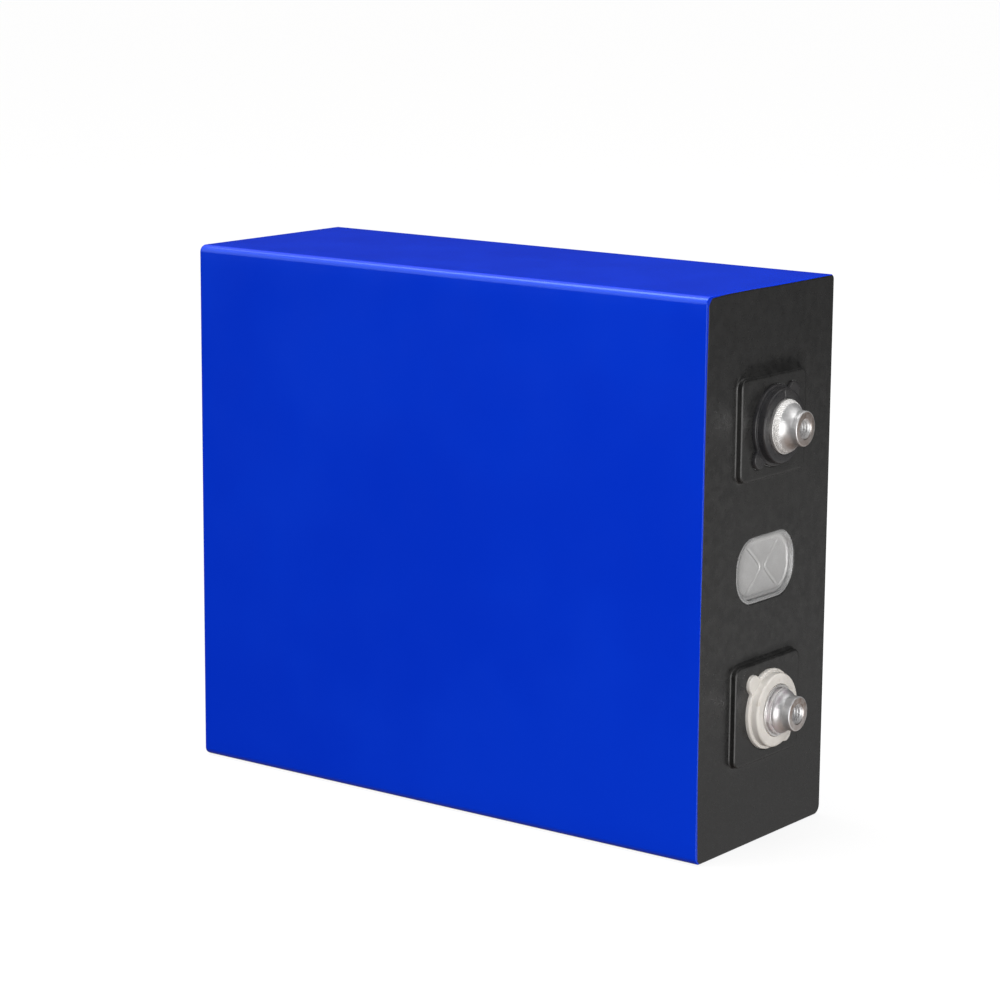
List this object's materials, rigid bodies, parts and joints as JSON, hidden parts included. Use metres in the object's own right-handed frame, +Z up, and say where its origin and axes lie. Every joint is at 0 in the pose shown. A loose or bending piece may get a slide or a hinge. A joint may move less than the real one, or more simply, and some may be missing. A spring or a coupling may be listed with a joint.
{
  "type": "prismatic battery cell",
  "caption": "Large-format prismatic lithium cell in a blue wrap with a black terminal face, threaded posts in moulded gaskets and a pressure vent between them.",
  "frame": {"origin": "centre of the narrow side that the cell rests on", "axes": "+X is the way the terminals face, +Y runs through the thickness from one large face to the other, +Z is up, along the long side of the terminal face, with the positive terminal above the negative"},
  "size_m": [0.2135, 0.0716, 0.174],
  "materials": {
    "wrap_blue": "satin blue polyester film",
    "film_black": "matte black insulating film, faint mottle",
    "can_aluminium": "drawn, dull",
    "lid_aluminium": "rolled plate, fine brushed",
    "vent_aluminium": "thin pressed sheet, matte",
    "film_clear": "clear film, glossy",
    "patch_white": "white film, matte",
    "gasket_black": "moulded, satin",
    "gasket_cream": "moulded, satin",
    "terminal_aluminium": "turned, with weld scale at the foot",
    "copper": "plain copper, satin",
    "foil_aluminium": "bright, creased",
    "copper_foil": "bright copper foil, creased",
    "seal_rubber": "black fluoro rubber",
    "insulator_white": "moulded, plain",
    "electrode_dark": "coated foil and separator, wound",
    "tape_green": "adhesive tape"
  },
  "bodies": {
    "root": {"can": "can_aluminium", "lid_plate": "lid_aluminium", "blue_wrap": "wrap_blue", "base_patch": "patch_white", "terminal_face_film": "film_black", "vent_disc": "vent_aluminium", "vent_film": "film_clear", "fill_plug": "seal_rubber", "fill_cap": "lid_aluminium", "pos_gasket": "gasket_black", "neg_gasket": "gasket_cream", "pos_clamp_ring": "terminal_aluminium", "neg_clamp_ring": "terminal_aluminium", "pos_pole": "terminal_aluminium", "neg_pole": "terminal_aluminium", "neg_pole_core": "copper", "pos_post": "terminal_aluminium", "neg_post": "terminal_aluminium", "pos_seal_ring": "seal_rubber", "neg_seal_ring": "seal_rubber", "pos_lower_insulator": "insulator_white", "neg_lower_insulator": "insulator_white", "pos_collector": "foil_aluminium", "neg_collector": "copper", "pos_tabs": "foil_aluminium", "neg_tabs": "copper_foil", "core_front": "electrode_dark", "core_back": "electrode_dark", "core_tapes": "tape_green", "inner_bag": "film_clear", "bottom_support": "insulator_white"}
  },
  "joints": []
}
